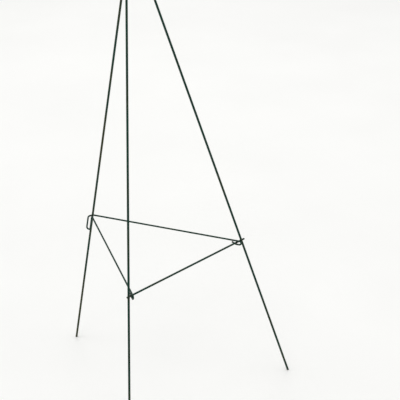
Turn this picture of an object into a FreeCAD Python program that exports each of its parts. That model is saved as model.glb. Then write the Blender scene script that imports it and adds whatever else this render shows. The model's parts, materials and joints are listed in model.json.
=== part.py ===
import FreeCAD, Part
import math
import os

# Folding wire display easel: two front legs joined by a welded cross bar, a rear leg
# hinged on a bolt at the top, and a thin wire brace that stops the rear leg from spreading.
# Millimetres. X is the width, the front faces -Y, Z is up. The origin lies on the floor,
# in the middle of the three feet.

# Driving dimensions
leg_wire = 4.2  # diameter of the leg wire
bar_wire = 3.6  # diameter of the cross bar
brace_wire = 3.2  # diameter of the spreader brace
bolt_height = 858.4  # height of the hinge bolt's axis
foot_half_spread = 214.0  # from the middle to each front foot
foot_reach = 196.5  # from the middle to the front feet and to the rear foot
bar_height = 291.3  # where the cross bar crosses the front legs
bar_sink = 0.4  # how far the welded wires sink into each other
weld_r = 2.8  # radius of the weld flash round a crossing
bar_short_end = 0.6  # bar past the left leg's centre line
bar_long_end = 10.8  # bar past the right leg's centre line
brace_height = 302.9  # where the brace meets the rear leg

bolt_d = 5.0
bolt_length = 35.0
hex_flats = 8.0
hex_chamfer = 0.5
tip_chamfer = 0.6
head_thickness = 3.5
nut_thickness = 4.0
nut_collar = 1.0  # height of the locking collar on top of the hexagon
nut_collar_d = 7.2
washer_d = 10.0
washer_hole = 5.3
washer_thickness = 1.0
pivot_clearance = 0.1  # round the bolt, and between the wires beside each other on it

bend_slack = 0.01  # straight wire left between two bends that meet
coil_slack = 0.06  # the same between the slanted bends of the coil

front_eye_x = 8.65  # from the middle to the centre of a front leg's eye
front_eye_extra = 0.12  # wider radius of the front eyes, which sit askew on the bolt
eye_throat_radius = 5.0

hook_rise = 38.0  # crest of the hook above the bolt
hook_crest = 18.0  # width of the crest
hook_trough_height = 13.0
hook_trough = 16.0  # width of the trough
hook_tip = 30.0  # height of the tip above the bolt

brace_eye_inboard = 10.5  # from a front leg's centre line to the brace's eye
brace_eye_half = 3.75  # half the height of the eye, on the wire's centre line
brace_eye_front = 9.0  # from the bar to the eye's closed end
brace_eye_back = 9.0  # from the bar to the wire's cut end
brace_eye_tail = 1.3  # behind the bar, where the tail turns up to the strand
brace_eye_tail_bend = 3.6
brace_eye_gap = 0.1  # between the cut end and the strand above it

loop_gap = 4.0  # wire centre lines beside the rear leg
loop_behind = 3.8  # the loop's cross piece behind the rear leg
loop_drop = 28.5  # how far the loop hangs down along the rear leg
loop_crest = 4.0
loop_outer = (-6.2, 5.2)  # the loop's outer strand, across and behind the rear leg
loop_inner = (-4.2, -2.4)  # the loop's inner strand
loop_bend = 3.0
loop_end_bend = 3.4

# Worked out from them
leg_r = leg_wire / 2
eye_r = bolt_d / 2 + pivot_clearance + leg_r  # wire centre line round the bolt
coil_x = leg_r + pivot_clearance  # rear leg's two passes beside each other
front_eye_r = eye_r + front_eye_extra
front_lean = math.atan2(foot_reach, bolt_height)
rear_lean = front_lean - math.asin(eye_r / math.hypot(foot_reach, bolt_height))

X = FreeCAD.Vector(1, 0, 0)


def side_axes(lean):
    """Unit vectors in the side view: square to a leg towards the rear, and up along it."""
    back = FreeCAD.Vector(0, math.cos(lean), -math.sin(lean))
    up = FreeCAD.Vector(0, math.sin(lean), math.cos(lean))
    return back, up


front_back = side_axes(front_lean)[0]
rear_back, rear_up = side_axes(-rear_lean)
bolt_centre = FreeCAD.Vector(0, 0, bolt_height)


def bent_path(points, radii):
    """Straight runs through the points, each inner corner rounded by a tangent arc."""
    edges = []
    start = points[0]
    for before, corner, after, radius in zip(points, points[1:], points[2:], radii):
        into = (corner - before).normalize()
        out = (after - corner).normalize()
        half_turn = into.getAngle(out) / 2
        tangent = radius * math.tan(half_turn)
        arc_start = corner - into * tangent
        arc_end = corner + out * tangent
        inward = (out - into).normalize()
        arc_middle = corner + inward * (radius / math.cos(half_turn) - radius)
        if (arc_start - start).dot(into) < -1e-6:
            raise ValueError("a bend needs more wire than its run has")
        if (arc_start - start).Length > 1e-4:
            edges.append(Part.LineSegment(start, arc_start).toShape())
        edges.append(Part.Arc(arc_start, arc_middle, arc_end).toShape())
        start = arc_end
    if (points[-1] - start).Length > 1e-4:
        edges.append(Part.LineSegment(start, points[-1]).toShape())
    return Part.Wire(edges)


def wire_solid(points, radii, diameter):
    """A round wire bent along the path, compared with its section times its length."""
    path = bent_path(points, radii)
    circle = Part.Circle(points[0], points[1] - points[0], diameter / 2)
    section = Part.Wire([circle.toShape()])
    solid = path.makePipeShell([section], True, False)
    expected = math.pi * diameter**2 / 4 * path.Length
    if not solid.isValid() or abs(solid.Volume / expected - 1) > 0.002:
        raise ValueError(f"bad wire: {solid.Volume:.1f} for {expected:.1f}")
    return solid, path.Length


def cut_at_floor(solid):
    """The wire's end ground flat where it stands on the floor."""
    reach = 400
    floor = Part.makeBox(2 * reach, 2 * reach, reach, FreeCAD.Vector(-reach, -reach, -reach))
    return solid.cut(floor)


def leg_start(foot, top):
    """A point below the floor on the leg's line, so that the cut is whole."""
    return foot - (top - foot).normalize() * leg_wire


def front_leg_line(side):
    """Foot and eye centre of a front leg, -1 for left and 1 for right."""
    foot = FreeCAD.Vector(side * foot_half_spread, -foot_reach, 0)
    return foot, bolt_centre + X * (side * front_eye_x)


def front_leg(side):
    foot, eye = front_leg_line(side)
    along = (eye - foot).normalize()
    root, octagon = math.sqrt(2), math.sqrt(2) - 1

    def at(back, up):
        """A point round the eye, in eye radii."""
        return eye + front_back * (front_eye_r * back) + along * (front_eye_r * up)

    points = [leg_start(foot, eye), at(0, -root), at(-1, -octagon), at(-1, 1)]
    points += [at(1, 1), at(1, -octagon), at(1 / root, -1 / root)]
    radii = [eye_throat_radius] + [front_eye_r - bend_slack] * 4
    solid, length = wire_solid(points, radii, leg_wire)
    return cut_at_floor(solid), length


def rear_leg():
    def at(across, back, up):
        return bolt_centre + X * across + rear_back * back + rear_up * up

    foot = at(coil_x, eye_r, -(bolt_height + rear_back.z * eye_r) / rear_up.z)
    front_of_hook = eye_r - hook_crest
    points = [
        leg_start(foot, at(coil_x, eye_r, 0)),
        at(coil_x, eye_r, eye_r),
        at(coil_x / 3, -eye_r, eye_r),
        at(-coil_x / 3, -eye_r, -eye_r),
        at(-coil_x, eye_r, -eye_r),
        at(-coil_x, eye_r, hook_rise),
        at(-coil_x, front_of_hook, hook_rise),
        at(-coil_x, front_of_hook, hook_trough_height),
        at(-coil_x, front_of_hook - hook_trough, hook_trough_height),
        at(-coil_x, front_of_hook - hook_trough, hook_tip),
    ]
    radii = [eye_r - coil_slack] * 4 + [hook_crest / 2 - bend_slack] * 2
    radii += [hook_trough / 2 - bend_slack] * 2
    solid, length = wire_solid(points, radii, leg_wire)
    return cut_at_floor(solid), length


def front_leg_at(side, height):
    """The point of a front leg's centre line at a height."""
    foot, eye = front_leg_line(side)
    return foot + (eye - foot) * (height / eye.z)


bar_offset = leg_r + bar_wire / 2 - bar_sink
bar_leg_x = front_leg_at(1, bar_height).x
bar_axis = front_leg_at(1, bar_height) - X * bar_leg_x + front_back * bar_offset


def cross_bar(legs):
    start = bar_axis - X * (bar_leg_x + bar_short_end)
    length = 2 * bar_leg_x + bar_short_end + bar_long_end
    bar = Part.makeCylinder(bar_wire / 2, length, start, X)
    for leg in legs:
        bar = bar.cut(leg)
    return bar


def cross_bar_welds(legs, bar):
    """The ring of metal squeezed out round each crossing of bar and leg."""
    welds = []
    for side, leg in zip((-1, 1), legs):
        centre = front_leg_at(side, bar_height) + front_back * (leg_r - bar_sink / 2)
        bead = Part.makeSphere(weld_r, centre, X)
        welds.append(bead.cut(leg).cut(bar))
    return Part.makeCompound(welds)


def spreader_brace():
    rear_y = foot_reach - brace_height * math.tan(rear_lean)
    span = math.hypot(rear_y - bar_axis.y, brace_height - bar_axis.z)
    tilt = math.atan2(brace_height - bar_axis.z, rear_y - bar_axis.y)
    tilt -= math.asin(brace_eye_half / span)
    lean = rear_lean - tilt  # the rear leg against the brace's upright
    leg_distance = math.sqrt(span**2 - brace_eye_half**2)
    out = FreeCAD.Vector(0, math.cos(tilt), math.sin(tilt))
    up = FreeCAD.Vector(0, -math.sin(tilt), math.cos(tilt))

    def at_leg(across, behind, along):
        """A point given across, behind and along the rear leg."""
        away = leg_distance + behind * math.cos(lean) - along * math.sin(lean)
        rise = brace_eye_half + behind * math.sin(lean) + along * math.cos(lean)
        return bar_axis + X * (across + coil_x) + out * away + up * rise

    def eye(side, target):
        """Points of an eye round the bar, from the wire's cut end to the strand."""
        centre = bar_axis + X * (side * (bar_leg_x - brace_eye_inboard))
        strand = target - centre
        strand = (strand - up * strand.dot(up)).normalize()
        cut_end = brace_eye_half - brace_wire - brace_eye_gap
        return [
            centre + strand * along + up * rise
            for along, rise in (
                (brace_eye_back, cut_end),
                (brace_eye_tail, -brace_eye_half),
                (-brace_eye_front, -brace_eye_half),
                (-brace_eye_front, brace_eye_half),
            )
        ]

    behind_leg = at_leg(loop_gap, loop_behind, 0)
    crest = at_leg(*loop_inner, loop_crest)
    loop = [
        behind_leg,
        at_leg(*loop_outer, 0),
        at_leg(*loop_outer, -loop_drop),
        at_leg(*loop_inner, -loop_drop),
        crest,
    ]
    points = eye(1, behind_leg) + loop + eye(-1, crest)[::-1]
    eye_bend = brace_eye_half - bend_slack
    eye_radii = [brace_eye_tail_bend, eye_bend, eye_bend]
    loop_radii = [loop_bend, loop_bend, loop_end_bend, loop_end_bend, loop_bend]
    return wire_solid(points, eye_radii + loop_radii + eye_radii[::-1], brace_wire)


def hex_block(thickness, base, chamfered_end):
    """A hexagonal prism along X from its base, its corners turned off at one end."""
    corner_r = hex_flats / math.sqrt(3)
    corners = [
        FreeCAD.Vector(0, corner_r * math.sin(turn), corner_r * math.cos(turn))
        for turn in (math.radians(60 * i) for i in range(7))
    ]
    prism = Part.Face(Part.makePolygon(corners)).extrude(X * thickness)
    round_stock = Part.makeCylinder(corner_r + 0.01, thickness, FreeCAD.Vector(0, 0, 0), X)
    end_x = thickness if chamfered_end > 0 else 0
    rim = [edge for edge in round_stock.Edges if abs(edge.CenterOfMass.x - end_x) < 0.01]
    block = prism.common(round_stock.makeChamfer(hex_chamfer, rim[:1]))
    block.translate(bolt_centre + X * base)
    return block


def pivot_hardware():
    """Bolt, washers and nut on the hinge axis."""
    foot, eye = front_leg_line(1)
    askew = front_eye_r * (foot.x - eye.x) / (foot - eye).Length
    stack = front_eye_x + askew + leg_r  # outer side of the front legs' eyes
    seat = stack + washer_thickness
    inner = coil_x + leg_r + pivot_clearance
    head = hex_block(head_thickness, -seat - head_thickness, -1)
    shank = Part.makeCylinder(bolt_d / 2, bolt_length, bolt_centre - X * seat, X)
    tip = [e for e in shank.Edges if abs(e.CenterOfMass.x - (bolt_length - seat)) < 0.01]
    bolt = head.fuse(shank.makeChamfer(tip_chamfer, tip[:1])).removeSplitter()

    washers = []
    for base in (-seat, -inner - washer_thickness, inner, stack):
        ring = Part.makeCylinder(washer_d / 2, washer_thickness, bolt_centre + X * base, X)
        hole = Part.makeCylinder(washer_hole / 2, washer_thickness, bolt_centre + X * base, X)
        washers.append(ring.cut(hole))

    nut = hex_block(nut_thickness, seat, 1)
    collar = Part.makeCylinder(
        nut_collar_d / 2, nut_collar, bolt_centre + X * (seat + nut_thickness), X
    )
    thread = Part.makeCylinder(
        bolt_d / 2, nut_thickness + nut_collar, bolt_centre + X * seat, X
    )
    nut = nut.fuse(collar).cut(thread).removeSplitter()
    return {"pivot_bolt": bolt, "pivot_washers": Part.makeCompound(washers), "pivot_nut": nut}


def main():
    os.makedirs("parts", exist_ok=True)
    left, left_length = front_leg(-1)
    right, right_length = front_leg(1)
    rear, rear_length = rear_leg()
    bar = cross_bar([left, right])
    brace, brace_length = spreader_brace()
    nodes = {
        "front_left_leg": left,
        "front_right_leg": right,
        "rear_leg": rear,
        "cross_bar": bar,
        "cross_bar_welds": cross_bar_welds([left, right], bar),
        "spreader_brace": brace,
        **pivot_hardware(),
    }
    for name, shape in nodes.items():
        shape.exportStep(os.path.join("parts", name + ".step"))
        print(name, len(shape.Solids), "solids", round(shape.Volume, 1), shape.isValid())
    print("wire lengths", [round(n) for n in (left_length, right_length, rear_length, brace_length)])
    print("bar axis", bar_axis, "bar crosses the legs at", round(bar_leg_x, 2))


main()
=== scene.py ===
import bpy
import json
import math
import numpy as np
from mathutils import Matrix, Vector


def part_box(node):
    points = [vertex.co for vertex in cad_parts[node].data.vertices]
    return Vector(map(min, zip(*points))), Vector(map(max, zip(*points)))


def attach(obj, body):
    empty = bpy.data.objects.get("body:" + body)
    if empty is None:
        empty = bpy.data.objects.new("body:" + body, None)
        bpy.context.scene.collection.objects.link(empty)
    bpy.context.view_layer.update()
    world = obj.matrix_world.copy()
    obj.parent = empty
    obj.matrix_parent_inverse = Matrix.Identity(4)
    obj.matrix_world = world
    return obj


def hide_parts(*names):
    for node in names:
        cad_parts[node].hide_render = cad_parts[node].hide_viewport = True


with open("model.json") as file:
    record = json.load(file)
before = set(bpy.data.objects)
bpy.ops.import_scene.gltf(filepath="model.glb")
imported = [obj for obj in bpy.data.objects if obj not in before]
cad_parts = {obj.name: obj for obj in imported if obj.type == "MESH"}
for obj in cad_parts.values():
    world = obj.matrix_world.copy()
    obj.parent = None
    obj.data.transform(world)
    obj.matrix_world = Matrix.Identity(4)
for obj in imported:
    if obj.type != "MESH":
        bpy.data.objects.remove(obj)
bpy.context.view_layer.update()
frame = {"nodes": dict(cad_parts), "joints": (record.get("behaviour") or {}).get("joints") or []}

# Folding wire display easel. Shapes are worked out in millimetres and put into the meshes in metres.
mm = 0.001
fullTurn = 2 * math.pi
joints = {joint["name"]: np.array(joint["pos_m"]) / mm for joint in frame["joints"]}
boltCentre = joints["rear_leg_fold"]
barCentre = joints["brace_fold"]
across = np.array([1.0, 0.0, 0.0])
endFaceDepth = 0.01  # points this close to a CAD leg's lowest one belong to its end face


def unit(vector):
    return vector / np.linalg.norm(vector)


def boxOf(node):
    # lowest and highest corner of a CAD node
    return [np.array(corner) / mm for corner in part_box(node)]


def footCentre(node):
    # middle of the wire's end face where the CAD leg stands on the floor
    points = np.array([v.co for v in frame["nodes"][node].data.vertices]) / mm
    low = points[points[:, 2] < points[:, 2].min() + endFaceDepth]
    return (low.min(axis=0) + low.max(axis=0)) / 2


feet = {side: footCentre(node) for side, node in ((-1, "front_left_leg"), (1, "front_right_leg"))}
rearFoot = footCentre("rear_leg")
frontBack = unit(np.array([0.0, boltCentre[2], feet[1][1]]))  # square to the front legs' plane, to the rear


def turned(vector, axis, angles):
    # a vector turned about a unit axis by each angle:
    # v cos(angle) + (axis x v) sin(angle) + axis (axis . v) (1 - cos(angle))
    angles = np.atleast_1d(angles)[:, None]
    along = axis * np.dot(axis, vector)
    return vector * np.cos(angles) + np.cross(axis, vector) * np.sin(angles) + along * (1 - np.cos(angles))


bending = {
    "straightStep": 1.2,
    "arcStep": math.radians(7),
    "shortestRun": 0.08,
    "firstSide": [0.31, 0.87, 0.38],  # any direction that no wire sets out in
}


def bentPath(points, radii):
    # straight runs with a tangent arc in each corner; a side vector turns with the wire, so it never twists
    points = np.array(points, float)
    start, heading = points[0], unit(points[1] - points[0])
    side = unit(np.cross(heading, bending["firstSide"]))
    parts = []

    def addRun(runStart, runEnd):
        length = np.linalg.norm(runEnd - runStart)
        if length > bending["shortestRun"]:
            share = np.linspace(0, 1, math.ceil(length / bending["straightStep"]) + 1)[:-1, None]
            middle = runStart + (runEnd - runStart) * share
            parts.append((middle, heading + 0 * share, side + 0 * share))

    for corner, after, radius in zip(points[1:-1], points[2:], radii):
        out = unit(after - corner)
        turn = math.acos(np.clip(np.dot(heading, out), -1, 1))
        tangent = radius * math.tan(turn / 2)
        arcStart = corner - heading * tangent
        addRun(start, arcStart)
        axis = unit(np.cross(heading, out))
        hub = arcStart + np.cross(axis, heading) * radius
        angles = np.linspace(0, turn, math.ceil(turn / bending["arcStep"]) + 1)[:-1]
        arc = hub + turned(arcStart - hub, axis, angles)
        parts.append((arc, turned(heading, axis, angles), turned(side, axis, angles)))
        side = turned(side, axis, turn)[0]
        start, heading = corner + out * tangent, out
    addRun(start, points[-1])
    parts.append((points[-1:], heading[None], side[None]))
    centre, headings, sides = (np.vstack(rows) for rows in zip(*parts))
    steps = np.linalg.norm(np.diff(centre, axis=0), axis=1)
    return {"centre": centre, "heading": headings, "side": sides, "length": np.append(0, np.cumsum(steps))}


def gridPiece(name, rings, materials, poles=None, cutBands=0, attributes=(), sharpAngle=40):
    # quads between neighbouring rings of points; two poles close the ends, or else the last ring joins the
    # first, and the cut bands at both ends take the second material
    count, sides = rings.shape[:2]
    ring = np.arange(count if poles is None else count - 1)[:, None]
    column = np.arange(sides)
    nextRing, nextColumn = (ring + 1) % count, (column + 1) % sides
    quads = np.stack([ring * sides + column, ring * sides + nextColumn,
                      nextRing * sides + nextColumn, nextRing * sides + column], axis=-1)
    faces = quads.reshape(-1, 4).tolist()
    finish = np.zeros(quads.shape[:2], int)
    points = rings.reshape(-1, 3)
    if poles is not None:
        points = np.vstack([points, poles])
        lastRing = (count - 1) * sides
        firstPole, lastPole = (np.full(sides, count * sides + pole) for pole in (0, 1))
        faces += np.stack([firstPole, nextColumn, column], axis=1).tolist()
        faces += np.stack([lastRing + column, lastRing + nextColumn, lastPole], axis=1).tolist()
    if cutBands:
        finish[:cutBands] = 1
        finish[-cutBands:] = 1
    poleFinish = np.full(len(faces) - finish.size, 1 if cutBands else 0)
    mesh = bpy.data.meshes.new(name)
    mesh.from_pydata((points * mm).tolist(), [], faces)
    mesh.polygons.foreach_set("material_index", np.append(finish, poleFinish).astype(np.int32))
    for label, kind, values in attributes:
        key = "vector" if kind == "FLOAT_VECTOR" else "value"
        mesh.attributes.new(label, kind, "POINT").data.foreach_set(key, (values * mm).ravel())
    for material in materials:
        mesh.materials.append(material)
    mesh.shade_smooth()
    mesh.set_sharp_from_angle(angle=math.radians(sharpAngle))
    mesh.update()
    piece = bpy.data.objects.new(name, mesh)
    bpy.context.scene.collection.objects.link(piece)
    return piece


coat = {
    "allowance": 0.03,  # mean depth of the surface below the nominal wire
    "waveHeight": 0.00175,
    "waves": [(23, 0, 1), (7.1, 1, 1), (3.3, -2, 1), (51, 1, 1), (1.9, 3, 0.6)],  # size, turns and share
    "drips": 10,  # places on each wire where the enamel ran
    "dripSpan": (0.02, 0.98),
    "dripHeight": 0.022,
    "dripLength": 2.6,
    "dripWidth": 0.55,  # radians round the wire
}


def coatedRadius(radius, length, angle, seed):
    # radius - allowance + height * sum of share * sin(length / size + turns * angle + phase), and where
    # enamel ran and dried the tallest of the humps: height * size * exp(-(distance along)^2 - (angle away)^2)
    random = np.random.default_rng(seed)
    s, a = length[:, None], angle[None]
    phases = random.uniform(0, fullTurn, len(coat["waves"]))
    waves = sum(share * np.sin(s / size + turns * a + phase)
                for (size, turns, share), phase in zip(coat["waves"], phases))
    middle, facing, size = random.uniform(*coat["dripSpan"], (3, coat["drips"]))[:, :, None, None]
    away = np.angle(np.exp(1j * (a - facing * fullTurn))) / coat["dripWidth"]
    along = (s - middle * length[-1]) / coat["dripLength"]
    drips = coat["dripHeight"] * (size * np.exp(-(along**2) - away**2)).max(axis=0)
    return radius - coat["allowance"] + coat["waveHeight"] * waves + drips


# A sheared end's sizes are in wire radii.
cutEnd = {
    "share": [0.5, 0.86, 0.965, 1.0],  # radii of its rings, from the middle to the rim
    "depth": [0.0, 0.0, 0.03, 0.12],  # the rim is worn round
    "lean": 0.1,  # depth that the shears slanted it by
    "bands": 2,  # bands of faces round the middle that show sheared steel
}


def wirePiece(name, path, diameter, materials, seed, onFloor=False, sides=32):
    # rings centre + radius(s, a) (side cos a + up sin a) along the path, closed by sheared ends with a worn
    # rim; the seed also sets which way an end leans
    radius, last = diameter / 2, len(path["length"]) - 1
    angle = np.arange(sides) * fullTurn / sides
    share, depth = np.array(cutEnd["share"]), np.array(cutEnd["depth"]) * radius
    ends = len(share)
    order = np.concatenate([[0] * ends, np.arange(1, last), [last] * ends]).astype(int)
    shares = np.concatenate([share, np.ones(last - 1), share[::-1]])[:, None, None]
    inward = np.concatenate([depth, np.zeros(last - 1), -depth[::-1]])[:, None, None]
    lean = np.zeros((len(order), 1, 1))
    lean[:ends], lean[-ends:] = 0 if onFloor else 1, -1
    centre, heading, side = (path[key][order][:, None] for key in ("centre", "heading", "side"))
    up = np.cross(heading, side)
    spoke = side * np.cos(angle)[None, :, None] + up * np.sin(angle)[None, :, None]
    thickness = coatedRadius(radius, path["length"], angle, seed)[order][..., None]
    slant = cutEnd["lean"] * radius * (1 + np.cos(angle - seed))[None, :, None] / 2
    rings = centre + spoke * thickness * shares + heading * (inward + lean * slant)
    if onFloor:  # the first rings slide along the wire down to the floor
        rise = depth[:, None] - rings[:ends, :, 2]
        rings[:ends] += heading[:ends] * (rise / heading[:ends, :, 2])[..., None]
    along = path["length"][order][:, None] + 0 * angle
    wireCoord = np.stack(np.broadcast_arrays(along, radius * np.cos(angle), radius * np.sin(angle)), axis=-1)
    poles = np.stack([rings[0].mean(axis=0), rings[-1].mean(axis=0)])
    poleCoord = np.array([[0, 0, 0], [path["length"][-1], 0, 0]])
    wireCoord = np.vstack([wireCoord.reshape(-1, 3), poleCoord])
    fromEnd = np.minimum(wireCoord[:, 0], path["length"][-1] - wireCoord[:, 0])
    attributes = (("wireCoord", "FLOAT_VECTOR", wireCoord), ("fromEnd", "FLOAT", fromEnd))
    return gridPiece(name, rings, materials, poles, cutEnd["bands"], attributes)


def linear(hexText):
    # an sRGB hex colour as linear light
    channel = np.array([int(hexText[i:i + 2], 16) for i in (1, 3, 5)]) / 255
    channel = np.where(channel <= 0.04045, channel / 12.92, ((channel + 0.055) / 1.055) ** 2.4)
    return [*channel.tolist(), 1.0]


def addNode(tree, kind, output, inputs, **settings):
    # adds a node with its settings, links or sets its inputs, and gives back one of its outputs
    node = tree.nodes.new(kind)
    for key, value in settings.items():
        setattr(node, key, value)
    for key, value in inputs.items():
        if isinstance(value, bpy.types.NodeSocket):
            tree.links.new(value, node.inputs[key])
        else:
            node.inputs[key].default_value = value
    return node.outputs[output]


def newMaterial(name, **surface):
    material = bpy.data.materials.new(name)
    material.use_nodes = True
    tree = material.node_tree
    shader = tree.nodes["Principled BSDF"]
    for key, value in surface.items():
        shader.inputs[key.replace("_", " ")].default_value = value
    where = addNode(tree, "ShaderNodeTexCoord", "Object", {})
    return material, tree, shader, where


def perMm(size):
    # a noise scale whose blobs are about this many millimetres across
    return 1 / (size * mm)


# Dip-coated alkyd enamel on drawn wire: a dark glossy green skin, thin enough in stretches to look olive,
# chipped to grey steel at the cut ends and rubbed through where wire slides on wire.
# Sizes are in millimetres; a pair of levels is where a noise begins to show and where it shows fully.
enamel = {
    "green": "#0a3a2c",
    "deepGreen": "#06251b",
    "olive": "#33351c",
    "yellowed": "#20291a",
    "steel": "#4b4a45",
    "index": 1.5,
    "sheen": 0.16,  # specular level; enamel that has weathered reflects less than new
    "gloss": (0.2, 0.34),  # roughness from the deepest coat to the thinnest
    "bareGloss": 0.16,  # more roughness on bare steel
    "bareMetallic": 0.85,
    "cloud": 42,  # changes in the depth of the coat
    "cloudMiddle": (0.3, 0.7),
    "thinStretch": 130,
    "thin": (0.62, 0.8),
    "thinShift": 0.3,  # how much sooner the coat looks thin on an olive wire
    "oliveMost": 0.85,
    "chip": 1.3,
    "chipped": (0.66, 0.7),
    "wornPatch": 19,
    "worn": (0.5, 0.62),
    "endWear": (0.4, 0.65),  # bare steel back from a cut end, and as much as endRagged on top
    "endRagged": 2.4,
    "stainReach": (2.0, 9),  # round a weld
    "stainRagged": 3.0,
    "stainMost": 0.8,
    "rubEdge": (-2.6, -2.0),  # past a rub's stated size, and as much as rubRagged on top
    "rubRagged": 4.0,
    "rubMost": 0.9,
    "orangePeel": 0.8,
    "dieLine": 0.45,  # between lines left by the drawing die; drawn coarser than real so that they show
    "dieLineSquash": 0.04,  # along the wire, which makes long lines of round blobs
    "dieLineHeight": 0.5,
    "relief": (0.5, 0.05),  # strength, and depth of the bumps
}


def enamelledWire(name, oliveShare, welds=(), rubs=()):
    material, tree, shader, where = newMaterial(name, IOR=enamel["index"], Specular_IOR_Level=enamel["sheen"])
    wire = addNode(tree, "ShaderNodeAttribute", "Vector", {}, attribute_name="wireCoord")
    fromEnd = addNode(tree, "ShaderNodeAttribute", "Fac", {}, attribute_name="fromEnd")

    cloud = addNode(tree, "ShaderNodeTexNoise", 0,
                    {"Vector": where, "Scale": perMm(enamel["cloud"]), "Detail": 2.0})
    colour = addNode(tree, "ShaderNodeMix", 2,
                     {0: cloud, 6: linear(enamel["deepGreen"]), 7: linear(enamel["green"])}, data_type="RGBA")
    thin = addNode(tree, "ShaderNodeTexNoise", 0,
                   {"Vector": where, "Scale": perMm(enamel["thinStretch"]), "Detail": 3.0, "Roughness": 0.6})
    begins, full = (level - enamel["thinShift"] * oliveShare for level in enamel["thin"])
    thin = addNode(tree, "ShaderNodeMapRange", 0, {0: thin, 1: begins, 2: full, 4: enamel["oliveMost"]})
    colour = addNode(tree, "ShaderNodeMix", 2, {0: thin, 6: colour, 7: linear(enamel["olive"])},
                     data_type="RGBA")

    # chips in worn stretches, and a ragged bare edge at the wire's ends
    fine = addNode(tree, "ShaderNodeTexNoise", 0,
                   {"Vector": where, "Scale": perMm(enamel["chip"]), "Detail": 4.0, "Roughness": 0.65})
    begins, full = enamel["chipped"]
    chips = addNode(tree, "ShaderNodeMapRange", 0, {0: fine, 1: begins, 2: full})
    worn = addNode(tree, "ShaderNodeTexNoise", 0,
                   {"Vector": where, "Scale": perMm(enamel["wornPatch"]), "Detail": 1.0})
    begins, full = enamel["worn"]
    worn = addNode(tree, "ShaderNodeMapRange", 0, {0: worn, 1: begins, 2: full})
    bare = addNode(tree, "ShaderNodeMath", 0, {0: chips, 1: worn}, operation="MULTIPLY")
    edge = addNode(tree, "ShaderNodeMath", 0, {0: fine, 1: -enamel["endRagged"] * mm, 2: fromEnd},
                   operation="MULTIPLY_ADD")
    steel, green = (reach * mm for reach in enamel["endWear"])
    edge = addNode(tree, "ShaderNodeMapRange", 0, {0: edge, 1: steel, 2: green, 3: 1.0, 4: 0.0})
    bare = addNode(tree, "ShaderNodeMath", 0, {0: bare, 1: edge}, operation="MAXIMUM")

    for spot in welds:  # the coat gathers thick and yellowed round a weld
        away = addNode(tree, "ShaderNodeVectorMath", "Value", {0: where, 1: spot * mm}, operation="DISTANCE")
        ragged = addNode(tree, "ShaderNodeMath", 0, {0: fine, 1: -enamel["stainRagged"] * mm, 2: away},
                         operation="MULTIPLY_ADD")
        inner, outer = (reach * mm for reach in enamel["stainReach"])
        stain = addNode(tree, "ShaderNodeMapRange", 0,
                        {0: ragged, 1: inner, 2: outer, 3: enamel["stainMost"], 4: 0.0},
                        interpolation_type="SMOOTHSTEP")
        colour = addNode(tree, "ShaderNodeMix", 2, {0: stain, 6: colour, 7: linear(enamel["yellowed"])},
                         data_type="RGBA")
    for spot, size in rubs:  # sliding wire has polished the coat away
        away = addNode(tree, "ShaderNodeVectorMath", "Value", {0: where, 1: spot * mm}, operation="DISTANCE")
        ragged = addNode(tree, "ShaderNodeMath", 0, {0: fine, 1: -enamel["rubRagged"] * mm, 2: away},
                         operation="MULTIPLY_ADD")
        inner, outer = ((size + reach) * mm for reach in enamel["rubEdge"])
        rubbed = addNode(tree, "ShaderNodeMapRange", 0,
                         {0: ragged, 1: inner, 2: outer, 3: enamel["rubMost"], 4: 0.0})
        bare = addNode(tree, "ShaderNodeMath", 0, {0: bare, 1: rubbed}, operation="MAXIMUM")
    colour = addNode(tree, "ShaderNodeMix", 2, {0: bare, 6: colour, 7: linear(enamel["steel"])},
                     data_type="RGBA")
    tree.links.new(colour, shader.inputs["Base Color"])
    metallic = addNode(tree, "ShaderNodeMath", 0, {0: bare, 1: enamel["bareMetallic"]}, operation="MULTIPLY")
    tree.links.new(metallic, shader.inputs["Metallic"])
    (begins, full), (deep, shallow) = enamel["cloudMiddle"], enamel["gloss"]
    gloss = addNode(tree, "ShaderNodeMapRange", 0, {0: cloud, 1: begins, 2: full, 3: deep, 4: shallow})
    gloss = addNode(tree, "ShaderNodeMath", 0, {0: bare, 1: enamel["bareGloss"], 2: gloss},
                    operation="MULTIPLY_ADD")
    tree.links.new(gloss, shader.inputs["Roughness"])

    # orange peel, die lines stretched along the wire, and the step down to bare steel
    peel = addNode(tree, "ShaderNodeTexNoise", 0,
                   {"Vector": where, "Scale": perMm(enamel["orangePeel"]), "Detail": 1.0})
    drawn = addNode(tree, "ShaderNodeVectorMath", 0, {0: wire, 1: (enamel["dieLineSquash"], 1.0, 1.0)},
                    operation="MULTIPLY")
    drawn = addNode(tree, "ShaderNodeTexNoise", 0,
                    {"Vector": drawn, "Scale": perMm(enamel["dieLine"]), "Detail": 2.0})
    height = addNode(tree, "ShaderNodeMath", 0, {0: drawn, 1: enamel["dieLineHeight"], 2: peel},
                     operation="MULTIPLY_ADD")
    height = addNode(tree, "ShaderNodeMath", 0, {0: bare, 1: -1.0, 2: height}, operation="MULTIPLY_ADD")
    strength, depth = enamel["relief"]
    bump = addNode(tree, "ShaderNodeBump", 0,
                   {"Height": height, "Strength": strength, "Distance": depth * mm})
    tree.links.new(bump, shader.inputs["Normal"])
    return material


# Sheared mild steel: a dull grey face torn in fine lines, with a little brown where it has begun to rust.
shearedEnd = {
    "pale": "#86837c",
    "dark": "#45433f",
    "rust": "#5a4433",
    "metallic": 0.85,
    "tear": 0.35,
    "tearMiddle": (0.3, 0.7),
    "gloss": (0.4, 0.65),
    "rustPatch": 1.4,
    "rusted": (0.5, 0.64),
    "rustMost": 0.7,
    "relief": (0.6, 0.08),
}


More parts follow.
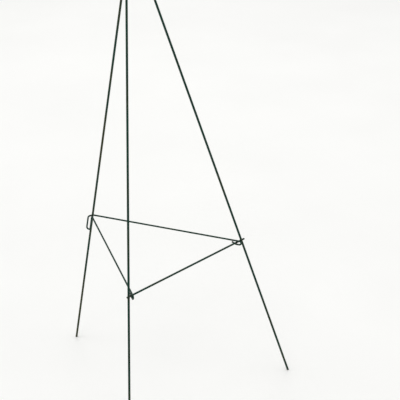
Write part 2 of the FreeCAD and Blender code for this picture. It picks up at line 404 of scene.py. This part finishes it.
def shearedSteel():
    material, tree, shader, where = newMaterial("shearedSteel", Metallic=shearedEnd["metallic"])
    torn = addNode(tree, "ShaderNodeTexNoise", 0,
                   {"Vector": where, "Scale": perMm(shearedEnd["tear"]), "Detail": 5.0, "Roughness": 0.7})
    colour = addNode(tree, "ShaderNodeMix", 2,
                     {0: torn, 6: linear(shearedEnd["dark"]), 7: linear(shearedEnd["pale"])},
                     data_type="RGBA")
    rust = addNode(tree, "ShaderNodeTexNoise", 0, {"Vector": where, "Scale": perMm(shearedEnd["rustPatch"])})
    begins, full = shearedEnd["rusted"]
    rust = addNode(tree, "ShaderNodeMapRange", 0, {0: rust, 1: begins, 2: full, 4: shearedEnd["rustMost"]})
    colour = addNode(tree, "ShaderNodeMix", 2, {0: rust, 6: colour, 7: linear(shearedEnd["rust"])},
                     data_type="RGBA")
    tree.links.new(colour, shader.inputs["Base Color"])
    (begins, full), (smooth, coarse) = shearedEnd["tearMiddle"], shearedEnd["gloss"]
    rough = addNode(tree, "ShaderNodeMapRange", 0, {0: torn, 1: begins, 2: full, 3: smooth, 4: coarse})
    tree.links.new(rough, shader.inputs["Roughness"])
    strength, depth = shearedEnd["relief"]
    bump = addNode(tree, "ShaderNodeBump", 0, {"Height": torn, "Strength": strength, "Distance": depth * mm})
    tree.links.new(bump, shader.inputs["Normal"])
    return material


# Enamel over the flash of a resistance weld: dark green with yellowed patches, and bare grey in a few spots.
flash = {
    "green": "#08301f",
    "yellowed": "#2a3119",
    "grey": "#4b4a45",
    "patch": 1.5,
    "yellowedPatch": (0.45, 0.6),
    "greyPatch": (0.64, 0.7),
    "patchMiddle": (0.3, 0.7),
    "gloss": (0.35, 0.65),
    "lump": 0.6,
    "relief": (0.7, 0.12),
}


def enamelledWeldSteel():
    material, tree, shader, where = newMaterial("enamelledWeldSteel", IOR=enamel["index"],
                                                Specular_IOR_Level=enamel["sheen"])
    patch = addNode(tree, "ShaderNodeTexNoise", 0,
                    {"Vector": where, "Scale": perMm(flash["patch"]), "Detail": 3.0})
    begins, full = flash["yellowedPatch"]
    yellowed = addNode(tree, "ShaderNodeMapRange", 0, {0: patch, 1: begins, 2: full})
    colour = addNode(tree, "ShaderNodeMix", 2,
                     {0: yellowed, 6: linear(flash["green"]), 7: linear(flash["yellowed"])},
                     data_type="RGBA")
    begins, full = flash["greyPatch"]
    grey = addNode(tree, "ShaderNodeMapRange", 0, {0: patch, 1: begins, 2: full})
    colour = addNode(tree, "ShaderNodeMix", 2, {0: grey, 6: colour, 7: linear(flash["grey"])},
                     data_type="RGBA")
    tree.links.new(colour, shader.inputs["Base Color"])
    (begins, full), (smooth, coarse) = flash["patchMiddle"], flash["gloss"]
    rough = addNode(tree, "ShaderNodeMapRange", 0, {0: patch, 1: begins, 2: full, 3: smooth, 4: coarse})
    tree.links.new(rough, shader.inputs["Roughness"])
    lumps = addNode(tree, "ShaderNodeTexNoise", 0,
                    {"Vector": where, "Scale": perMm(flash["lump"]), "Detail": 4.0})
    strength, depth = flash["relief"]
    bump = addNode(tree, "ShaderNodeBump", 0, {"Height": lumps, "Strength": strength, "Distance": depth * mm})
    tree.links.new(bump, shader.inputs["Normal"])
    return material


# Clear-passivated zinc plate: bright grey metal, slightly clouded, with a faint warm blush.
zinc = {
    "bright": "#c8cccf",
    "dull": "#989da0",
    "blush": "#b3ab95",
    "cloud": 2.2,
    "cloudMiddle": (0.3, 0.7),
    "gloss": (0.22, 0.42),
    "blushPatch": 5.0,
    "blushed": (0.5, 0.68),
    "blushMost": 0.6,
    "grain": 0.14,
    "relief": (0.3, 0.02),
}


def zincPlate():
    material, tree, shader, where = newMaterial("zincPlatedSteel", Metallic=1.0)
    cloud = addNode(tree, "ShaderNodeTexNoise", 0,
                    {"Vector": where, "Scale": perMm(zinc["cloud"]), "Detail": 4.0})
    colour = addNode(tree, "ShaderNodeMix", 2,
                     {0: cloud, 6: linear(zinc["dull"]), 7: linear(zinc["bright"])}, data_type="RGBA")
    blush = addNode(tree, "ShaderNodeTexNoise", 0, {"Vector": where, "Scale": perMm(zinc["blushPatch"])})
    begins, full = zinc["blushed"]
    blush = addNode(tree, "ShaderNodeMapRange", 0, {0: blush, 1: begins, 2: full, 4: zinc["blushMost"]})
    colour = addNode(tree, "ShaderNodeMix", 2, {0: blush, 6: colour, 7: linear(zinc["blush"])},
                     data_type="RGBA")
    tree.links.new(colour, shader.inputs["Base Color"])
    (begins, full), (smooth, coarse) = zinc["cloudMiddle"], zinc["gloss"]
    rough = addNode(tree, "ShaderNodeMapRange", 0, {0: cloud, 1: begins, 2: full, 3: smooth, 4: coarse})
    tree.links.new(rough, shader.inputs["Roughness"])
    grain = addNode(tree, "ShaderNodeTexNoise", 0,
                    {"Vector": where, "Scale": perMm(zinc["grain"]), "Detail": 2.0})
    strength, depth = zinc["relief"]
    bump = addNode(tree, "ShaderNodeBump", 0, {"Height": grain, "Strength": strength, "Distance": depth * mm})
    tree.links.new(bump, shader.inputs["Normal"])
    return material


def place(piece, body, node):
    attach(piece, body)
    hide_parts(node)


frontLeg = {
    "wire": 4.2,
    "eyeX": 8.65,  # the eye's centre from the middle
    "eyeRadius": 4.82,
    "eyeBend": 4.81,
    "throatBend": 5.0,
    "olive": 0.35,  # share of the length where the coat looks thin
    "seeds": {-1: 3, 1: 8},
}
crossBar = {
    "wire": 3.6,
    "toLeg": 3.5,  # between the centre lines of bar and leg, which are sunk into each other
    "pastLeft": 0.6,
    "pastRight": 10.8,
    "seed": 21,
}


def legAtBar(side):
    # the point on a front leg's centre line beside the bar
    eye = boltCentre + across * side * frontLeg["eyeX"]
    share = (barCentre - frontBack * crossBar["toLeg"])[2] / eye[2]
    return feet[side] + (eye - feet[side]) * share


def frontLegPath(side):
    # up from the foot, then once round the bolt: corners of an octagon in eye radii, back and up the leg
    eye = boltCentre + across * side * frontLeg["eyeX"]
    up = unit(eye - feet[side])
    root, octagon = math.sqrt(2), math.sqrt(2) - 1
    turns = [(0, -root), (-1, -octagon), (-1, 1), (1, 1), (1, -octagon), (1 / root, -1 / root)]
    points = [eye + frontLeg["eyeRadius"] * (frontBack * back + up * rise) for back, rise in turns]
    return bentPath([feet[side], *points], [frontLeg["throatBend"]] + [frontLeg["eyeBend"]] * 4)


def crossBarPath():
    left = legAtBar(-1)[0] - crossBar["pastLeft"]
    right = legAtBar(1)[0] + crossBar["pastRight"]
    return bentPath([barCentre + across * left, barCentre + across * right], [])


rearLeg = {
    "wire": 4.2,
    "coilX": 2.2,
    "coilRadius": 4.7,
    "coilBend": 4.64,
    "crest": (38.0, 18.0, 8.99),  # the hook: height above the bolt, width and bend
    "trough": (13.0, 16.0, 7.99),
    "tip": 30.0,
    "olive": 0.75,
    "seed": 14,
}
rearLean = math.atan2(rearFoot[1], boltCentre[2])  # less what it needs to pass behind the bolt
rearLean -= math.asin(rearLeg["coilRadius"] / math.hypot(rearFoot[1], boltCentre[2]))
rearUp = np.array([0.0, -math.sin(rearLean), math.cos(rearLean)])
rearBack = np.array([0.0, math.cos(rearLean), math.sin(rearLean)])


def rearLegPath():
    # up from the foot, one and a half turns round the bolt, then over and down into the hook;
    # points are across, behind and above the bolt's centre
    r, x = rearLeg["coilRadius"], rearLeg["coilX"]
    (rise, crest, crestBend), (dip, trough, troughBend) = rearLeg["crest"], rearLeg["trough"]
    turns = [(x, r, r), (x / 3, -r, r), (-x / 3, -r, -r), (-x, r, -r)]
    turns += [(-x, r, rise), (-x, r - crest, rise), (-x, r - crest, dip)]
    turns += [(-x, r - crest - trough, dip), (-x, r - crest - trough, rearLeg["tip"])]
    points = [boltCentre + across * side + rearBack * back + rearUp * up for side, back, up in turns]
    return bentPath([rearFoot, *points], [rearLeg["coilBend"]] * 4 + [crestBend] * 2 + [troughBend] * 2)


brace = {
    "wire": 3.2,
    "height": 302.9,  # where it meets the rear leg
    "eyeInboard": 10.5,  # from a front leg's centre line
    "eyeHalf": 3.75,
    "eyeEnds": (-9.0, 1.3, 9.0),  # closed end, tail's bend and cut end, from the bar towards the strand
    "eyeBend": 3.74,
    "tailBend": 3.6,
    "cutEndGap": 0.1,
    "behindLeg": (4.0, 3.8),  # across and behind the rear leg's centre line
    "outerStrand": (-6.2, 5.2),
    "innerStrand": (-4.2, -2.4),
    "loopDrop": 28.5,
    "loopCrest": 4.0,
    "bend": 3.0,
    "endBend": 3.4,
    "olive": 0.2,
    "seed": 30,
}
meetsRear = rearFoot[1] - brace["height"] * math.tan(rearLean)
span = math.hypot(meetsRear - barCentre[1], brace["height"] - barCentre[2])
braceTilt = math.atan2(brace["height"] - barCentre[2], meetsRear - barCentre[1])
braceTilt -= math.asin(brace["eyeHalf"] / span)  # the strands leave from the top of the eyes
braceOut = np.array([0.0, math.cos(braceTilt), math.sin(braceTilt)])
braceUp = np.array([0.0, -math.sin(braceTilt), math.cos(braceTilt)])


def besideRearLeg(side, behind, along):
    # a point given across, behind and along the rear leg, from where the brace meets it
    lean = rearLean - braceTilt
    away = math.sqrt(span**2 - brace["eyeHalf"] ** 2) + behind * math.cos(lean) - along * math.sin(lean)
    rise = brace["eyeHalf"] + behind * math.sin(lean) + along * math.cos(lean)
    return barCentre + across * (side + rearLeg["coilX"]) + braceOut * away + braceUp * rise


def eyeCentre(side):
    return barCentre + across * side * (legAtBar(1)[0] - brace["eyeInboard"])


def braceEye(side, target):
    # flattened eye round the bar, from the wire's cut end to the strand that leaves for the rear leg
    centre = eyeCentre(side)
    strand = target - centre
    strand = unit(strand - braceUp * np.dot(strand, braceUp))
    half, (closed, tail, cut) = brace["eyeHalf"], brace["eyeEnds"]
    cutRise = half - brace["wire"] - brace["cutEndGap"]
    corners = [(cut, cutRise), (tail, -half), (closed, -half), (closed, half)]
    return [centre + strand * along + braceUp * rise for along, rise in corners]


def bracePath():
    # an eye on the bar, a strand back, the long loop over the rear leg, a strand forward and the other eye
    outer, inner = brace["outerStrand"], brace["innerStrand"]
    behind = besideRearLeg(*brace["behindLeg"], 0)
    crest = besideRearLeg(*inner, brace["loopCrest"])
    loop = [behind, besideRearLeg(*outer, 0), besideRearLeg(*outer, -brace["loopDrop"]),
            besideRearLeg(*inner, -brace["loopDrop"]), crest]
    eyeBends = [brace["tailBend"], brace["eyeBend"], brace["eyeBend"]]
    loopBends = [brace["bend"], brace["bend"], brace["endBend"], brace["endBend"], brace["bend"]]
    points = braceEye(1, behind) + loop + braceEye(-1, crest)[::-1]
    return bentPath(points, eyeBends + loopBends + eyeBends[::-1])


rubSize = {"eye": 3.4, "rearLeg": 4.2, "loop": 5.0}
weldSpots = [legAtBar(side) + frontBack * frontLeg["wire"] / 2 for side in (-1, 1)]
eyeRubs = [(eyeCentre(side), rubSize["eye"]) for side in (-1, 1)]
meeting = besideRearLeg(0, 0, 0)
cutSteel = shearedSteel()
frontEnamel = enamelledWire("greenEnamelFrontWires", frontLeg["olive"], weldSpots, eyeRubs)
rearEnamel = enamelledWire("greenEnamelRearWire", rearLeg["olive"], rubs=[(meeting, rubSize["rearLeg"])])
braceRubs = [*eyeRubs, (meeting, rubSize["loop"])]
braceEnamel = enamelledWire("greenEnamelBraceWire", brace["olive"], rubs=braceRubs)
weldSteel = enamelledWeldSteel()
zincSteel = zincPlate()
print("materials made")

frontFinish = [frontEnamel, cutSteel]
for side, label in ((-1, "Left"), (1, "Right")):
    leg = wirePiece(f"front{label}LegWire", frontLegPath(side), frontLeg["wire"], frontFinish,
                    frontLeg["seeds"][side], onFloor=True)
    place(leg, "front_frame", f"front_{label.lower()}_leg")
leg = wirePiece("rearLegWire", rearLegPath(), rearLeg["wire"], [rearEnamel, cutSteel],
                rearLeg["seed"], onFloor=True)
place(leg, "rear_leg", "rear_leg")
bar = wirePiece("crossBarWire", crossBarPath(), crossBar["wire"], frontFinish, crossBar["seed"])
place(bar, "front_frame", "cross_bar")
braceWire = wirePiece("spreaderBraceWire", bracePath(), brace["wire"], [braceEnamel, cutSteel], brace["seed"])
place(braceWire, "spreader", "spreader_brace")
print("wires bent")

weld = {
    "reach": 1.5,  # of the ring of flash from the middle of the contact
    "reachWaves": [(2, 0.07), (3, 0.05)],  # waves in a turn round the ring, and their share of the reach
    "thickness": 0.55,
    "lumpShare": 0.26,  # of the thickness, for the mean of the lumps' waves
    "lumps": [(5, 2), (9, -1), (3, 3)],  # waves in a turn round the ring and in a turn round its tube
    "turnSteps": 72,
    "tubeSteps": 24,
    "seeds": {-1: 5, 1: 17},
}


def weldFlash(side, name):
    # a lumpy ring in the crevice round the crossing. Its middle is halfway between the surfaces of leg and
    # bar: at u along the bar and v along the leg it lies (sqrt(legRadius^2 - u^2) + toLeg -
    # sqrt(barRadius^2 - v^2)) / 2 behind the leg's centre line
    phase = np.random.default_rng(weld["seeds"][side]).uniform(0, fullTurn, 5)
    turn = np.linspace(0, fullTurn, weld["turnSteps"] + 1)[:-1, None]
    tube = np.linspace(0, fullTurn, weld["tubeSteps"] + 1)[None, :-1]
    uneven = sum(share * np.sin(waves * turn + start)
                 for (waves, share), start in zip(weld["reachWaves"], phase[:2]))
    reach = weld["reach"] * (1 + uneven)
    u, v = reach * np.cos(turn), reach * np.sin(turn)
    legSurface = np.sqrt(np.maximum((frontLeg["wire"] / 2) ** 2 - u**2, 0))
    barSurface = crossBar["toLeg"] - np.sqrt(np.maximum((crossBar["wire"] / 2) ** 2 - v**2, 0))
    upLeg = unit(np.cross(across, frontBack))
    outward = across * np.cos(turn) + upLeg * np.sin(turn)
    middle = legAtBar(side) + across * u + upLeg * v + frontBack * (legSurface + barSurface) / 2
    lumps = sum(np.sin(along * turn + around * tube + start)
                for (along, around), start in zip(weld["lumps"], phase[2:])) / len(weld["lumps"])
    size = (weld["thickness"] * (1 + weld["lumpShare"] * lumps))[..., None]
    normal = unit(np.cross(across, upLeg))
    spoke = outward[:, None] * np.cos(tube)[..., None] - normal * np.sin(tube)[..., None]
    rings = middle[:, None] + size * spoke
    return gridPiece(name, rings, [weldSteel], sharpAngle=80)


for side, name in ((-1, "weldFlashLeft"), (1, "weldFlashRight")):
    place(weldFlash(side, name), "front_frame", "cross_bar_welds")
print("welds laid")

hinge = {"sides": 96, "sharpAngle": 28}
hingeAngle = np.arange(hinge["sides"]) * fullTurn / hinge["sides"]


def turnedPiece(name, profile, closed=True):
    # a profile carried round the bolt's axis: (x, radius cos a, radius sin a) from it, for blocks of places x
    # along the axis with a radius for each ring, or for each point of each ring
    blocks = []
    for x, radius in profile:
        x = np.reshape(x, (-1, 1))
        radius = np.reshape(radius, (len(x), -1))
        blocks.append(np.broadcast_arrays(x, radius, hingeAngle)[:2])
    x, radius = (np.vstack(rows) for rows in zip(*blocks))
    rings = np.stack([x, radius * np.cos(hingeAngle), radius * np.sin(hingeAngle)], axis=-1)
    rings += [0, *boltCentre[1:]]
    poles = np.array([[x[end, 0], *boltCentre[1:]] for end in (0, -1)])
    return gridPiece(name, rings, [zincSteel], poles if closed else None, sharpAngle=hinge["sharpAngle"])


hexagon = {
    "flats": 8.0,
    "faceRadius": 3.85,  # of the circle where the cone meets the end face
    "edgeSharpness": 22,
    "coneDepth": 0.6,
}


def hexRadius(x, end, direction):
    # a hexagon's radius, flats / 2 / cos(angle from a flat's middle), and that of a 30 degree cone turned on
    # its end: the smaller of the two, met softly as -log(exp(-k flat) + exp(-k cone)) / k
    wrapped = (hingeAngle + math.pi / 6) % (math.pi / 3) - math.pi / 6
    flat = hexagon["flats"] / 2 / np.cos(wrapped)
    cone = hexagon["faceRadius"] + (np.reshape(x, (-1, 1)) - end) * direction * math.sqrt(3)
    k = hexagon["edgeSharpness"]
    return -np.log(np.exp(-k * flat) + np.exp(-k * cone)) / k


bolt = {
    "shank": 2.5,
    "clearance": 0.02,
    "threadLength": 16.0,
    "pitch": 0.8,
    "threadDepth": 0.42,
    "threadStep": 0.08,
    "tipChamfer": 0.6,
    "tipRound": 0.1,
    "dish": [(0.15, 0.6), (0.15, 2.75), (0, 2.9), (0, 3.6)],  # depths and radii across the head's face
    "underHead": (0.03, 3.4),  # small break at the edge, and radius of a ring on the underside
    "straightStart": 0.9,  # where the hexagon is clear of the cone
}


def pivotBolt():
    # head, plain shank and thread as one profile; the thread's radius is
    # shank - depth * triangle wave of (x / pitch - angle / full turn), growing over its first two turns
    face, tip = (corner[0] for corner in boxOf("pivot_bolt"))
    seat = boxOf("pivot_washers")[0][0]
    shank, gap = bolt["shank"] - bolt["clearance"], bolt["clearance"]
    dishDepth, dishRadius = np.array(bolt["dish"]).T
    head = face + np.append(np.linspace(0, hexagon["coneDepth"], 16),
                            np.linspace(bolt["straightStart"], seat - face - gap, 6))
    edgeBreak, ring = bolt["underHead"]
    threadStart = tip - bolt["threadLength"]
    thread = np.arange(threadStart + 0.05, tip, bolt["threadStep"])[:, None]
    wave = np.abs((thread / bolt["pitch"] - hingeAngle / fullTurn) % 1 * 2 - 1)
    grow = np.minimum(1, (thread - threadStart) / (2 * bolt["pitch"]))
    chamfer = np.maximum(0, thread - (tip - bolt["tipChamfer"]))
    threaded = np.minimum(shank - bolt["threadDepth"] * wave * grow, bolt["shank"] - chamfer)
    return turnedPiece("pivotBolt", [
        (face + dishDepth, dishRadius),
        (head, hexRadius(head, face, 1)),
        (seat, hexRadius(seat, face, 1) - edgeBreak),
        ([seat, seat, seat + gap, threadStart], [ring, shank, shank, shank]),
        (thread, threaded),
        (tip, bolt["shank"] - bolt["tipChamfer"] - bolt["tipRound"]),
    ])


nut = {
    "height": 4.0,
    "straight": (0.9, 3.2),  # of the hexagon between its two cones
    "upperCone": 3.4,
    "collar": 3.6,
    "collarRound": 0.35,
    "hole": 2.52,
    "lead": (0.3, 0.25),  # chamfers of the hole at the seat and at the collar
}


def pivotNut():
    # hexagon turned off at both ends, a locking collar with a rolled rim, and the hole back through them
    start, top = (corner[0] for corner in boxOf("pivot_nut"))
    shoulder, hole = start + nut["height"], nut["hole"]
    hexPart = start + np.concatenate([np.linspace(0, hexagon["coneDepth"], 14),
                                      np.linspace(*nut["straight"], 6),
                                      np.linspace(nut["upperCone"], nut["height"], 14)])
    quarter = np.linspace(0, math.pi / 2, 7)
    rimX = top - nut["collarRound"] * (1 - np.sin(quarter))
    rimRadius = nut["collar"] - nut["collarRound"] * (1 - np.cos(quarter))
    seatLead, collarLead = nut["lead"]
    return turnedPiece("pivotNut", [
        (start, hole + seatLead),
        (hexPart, np.minimum(hexRadius(hexPart, start, 1), hexRadius(hexPart, shoulder, -1))),
        (shoulder, nut["collar"]),
        (rimX, rimRadius),
        ([top, top - collarLead, start + seatLead], [hole + collarLead, hole, hole]),
    ], closed=False)


washer = {"outer": 5.0, "hole": 2.65, "thickness": 1.0, "rollOver": 0.22, "burr": 0.05, "besideCoil": 0.1}


def pivotWasher(name, low):
    # a punched ring: its rim rolled over on the punch's side and square with a small break on the other
    high, hole, outer = low + washer["thickness"], washer["hole"], washer["outer"]
    roll, burr = washer["rollOver"], washer["burr"]
    quarter = np.linspace(0, math.pi / 2, 7)
    return turnedPiece(name, [
        (low, hole + burr),
        (low + roll * (1 - np.cos(quarter)), outer - roll + roll * np.sin(quarter)),
        ([high - burr, high, high], [outer, outer - burr, hole + roll / 2]),
        ([high - roll / 2, low + burr], [hole, hole]),
    ], closed=False)


place(pivotBolt(), "front_frame", "pivot_bolt")
place(pivotNut(), "front_frame", "pivot_nut")
outer = boxOf("pivot_washers")[1][0]
inner = rearLeg["coilX"] + rearLeg["wire"] / 2 + washer["besideCoil"]
thickness = washer["thickness"]
for name, low in (("outerWasherLeft", -outer), ("innerWasherLeft", -inner - thickness),
                  ("innerWasherRight", inner), ("outerWasherRight", outer - thickness)):
    place(pivotWasher(name, low), "front_frame", "pivot_washers")
print("hinge made")

studio = {
    "floor": "#f4f4f2",
    "paleFloor": "#fafaf8",
    "floorClouds": 3.0,  # to a metre
    "floorSize": 60.0,  # metres, as are all sizes and places of the studio
    "floorRoughness": 0.85,
    "floorSheen": 0.15,
    "sky": "#ffffff",
    "skyStrength": 0.76,
    "aim": (0, 0, 0.4),  # what the lights are turned to
    "softboxes": {  # place, size and watts
        "keySoftbox": ((-2.0, -1.0, 3.0), 1.2, 10),
        "fillSoftbox": ((1.8, -2.4, 2.4), 1.4, 4),
        "backSoftbox": ((1.5, 1.7, 3.0), 1.6, 16),
    },
    "farLamp": ((-1.0, 0.6, 3.4), 25.0, 0.38),  # side it shines from, spread in degrees and strength
}


def paintedFloor():
    # matt pale paint, a little clouded so that the floor isn't one flat colour
    material, tree, shader, where = newMaterial("mattFloorPaint", Roughness=studio["floorRoughness"],
                                                Specular_IOR_Level=studio["floorSheen"])
    cloud = addNode(tree, "ShaderNodeTexNoise", 0,
                    {"Vector": where, "Scale": studio["floorClouds"], "Detail": 2.0})
    colour = addNode(tree, "ShaderNodeMix", 2,
                     {0: cloud, 6: linear(studio["floor"]), 7: linear(studio["paleFloor"])},
                     data_type="RGBA")
    tree.links.new(colour, shader.inputs["Base Color"])
    return material


def hangLight(name, kind, spot):
    # a light at a spot, turned to the easel
    light = bpy.data.lights.new(name, kind)
    lamp = bpy.data.objects.new(name, light)
    lamp.location = spot
    lamp.rotation_euler = (Vector(studio["aim"]) - Vector(spot)).to_track_quat("-Z", "Y").to_euler()
    bpy.context.scene.collection.objects.link(lamp)
    return light


half = studio["floorSize"] / 2
floorMesh = bpy.data.meshes.new("floor")
corners = [(-half, -half, 0), (half, -half, 0), (half, half, 0), (-half, half, 0)]
floorMesh.from_pydata(corners, [], [(0, 1, 2, 3)])
floorMesh.materials.append(paintedFloor())
floor = bpy.data.objects.new("floor", floorMesh)
bpy.context.scene.collection.objects.link(floor)

sky = bpy.data.worlds.new("softWhiteRoom")
sky.use_nodes = True
background = sky.node_tree.nodes["Background"]
background.inputs["Color"].default_value = linear(studio["sky"])
background.inputs["Strength"].default_value = studio["skyStrength"]
bpy.context.scene.world = sky

for name, (spot, size, watts) in studio["softboxes"].items():
    softbox = hangLight(name, "AREA", spot)
    softbox.shape, softbox.size, softbox.energy = "DISK", size, watts
spot, spread, strength = studio["farLamp"]
farLamp = hangLight("farLamp", "SUN", spot)
farLamp.angle, farLamp.energy = math.radians(spread), strength

view = {
    "azimuth": -46.05,
    "elevation": 26.22,
    "distance": 2.2,
    "aim": (0.0804, -0.0834, 0.3833),
    "lens": 108.3,
    "sensor": 36,
}
azimuth, elevation = math.radians(view["azimuth"]), math.radians(view["elevation"])
toCamera = Vector((math.sin(azimuth) * math.cos(elevation),
                   -math.cos(azimuth) * math.cos(elevation),
                   math.sin(elevation)))
cameraData = bpy.data.cameras.new("camera")
cameraData.sensor_width, cameraData.lens = view["sensor"], view["lens"]
camera = bpy.data.objects.new("camera", cameraData)
camera.location = Vector(view["aim"]) + toCamera * view["distance"]
camera.rotation_euler = (-toCamera).to_track_quat("-Z", "Y").to_euler()
bpy.context.scene.collection.objects.link(camera)
bpy.context.scene.camera = camera
bpy.context.scene.view_settings.view_transform = "Standard"
print("studio lit")
